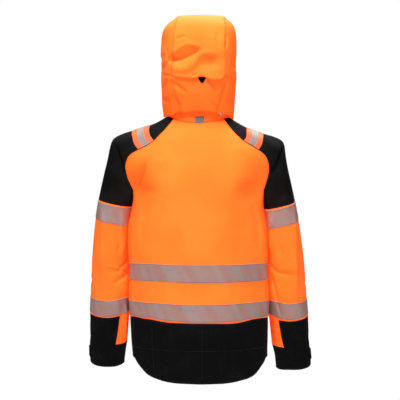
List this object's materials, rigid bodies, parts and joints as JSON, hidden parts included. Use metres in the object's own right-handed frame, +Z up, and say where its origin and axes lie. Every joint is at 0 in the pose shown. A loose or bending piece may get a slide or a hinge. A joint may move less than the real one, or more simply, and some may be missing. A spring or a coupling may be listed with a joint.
{
  "type": "hi-vis work jacket",
  "caption": "Hooded hi-vis work jacket filled out as worn, with raglan shoulders, reflective bands, a dropped tail and a hinged zip pull.",
  "frame": {"origin": "middle of the neck opening at the height of the collar seam, where the jacket sits on its wearer's shoulders", "axes": "+Z up, the front faces -Y and the back +Y, the wearer's left is +X"},
  "size_m": [0.6564, 0.3012, 1.0469],
  "materials": {
    "orange_cloth": "matt fluorescent orange twill",
    "black_cloth": "matt black twill",
    "reflective_tape": "grey segmented reflective transfer tape",
    "zip_tape": "woven zip tape with moulded teeth",
    "dark_metal": "gunmetal"
  },
  "bodies": {
    "jacket": {"back_hem": "black_cloth", "back_panel": "orange_cloth", "band_chest": "reflective_tape", "band_forearm_left": "reflective_tape", "band_forearm_right": "reflective_tape", "band_shoulder_left": "reflective_tape", "band_shoulder_right": "reflective_tape", "band_upper_arm_left": "reflective_tape", "band_upper_arm_right": "reflective_tape", "band_waist": "reflective_tape", "collar": "orange_cloth", "cuff_tab_left": "black_cloth", "cuff_tab_right": "black_cloth", "forearm_left": "black_cloth", "forearm_right": "black_cloth", "front_hem_left": "black_cloth", "front_hem_right": "black_cloth", "front_left": "orange_cloth", "front_right": "orange_cloth", "hood_adjuster": "black_cloth", "hood_crown": "orange_cloth", "hood_nape": "orange_cloth", "hood_side_left": "orange_cloth", "hood_side_right": "orange_cloth", "neck_tab": "reflective_tape", "shoulder_left": "black_cloth", "shoulder_right": "black_cloth", "sleeve_left": "orange_cloth", "sleeve_right": "orange_cloth", "zip": "zip_tape", "zip_slider": "dark_metal"},
    "zip_pull": {"zip_pull": "dark_metal"}
  },
  "joints": [
    {"name": "zip_pull_hinge", "type": "hinge", "parent": "jacket", "child": "zip_pull", "pos_m": [0.004, -0.08838, 0.01791], "axis": [-1, 0, 0], "range_deg": [0, 165]}
  ]
}
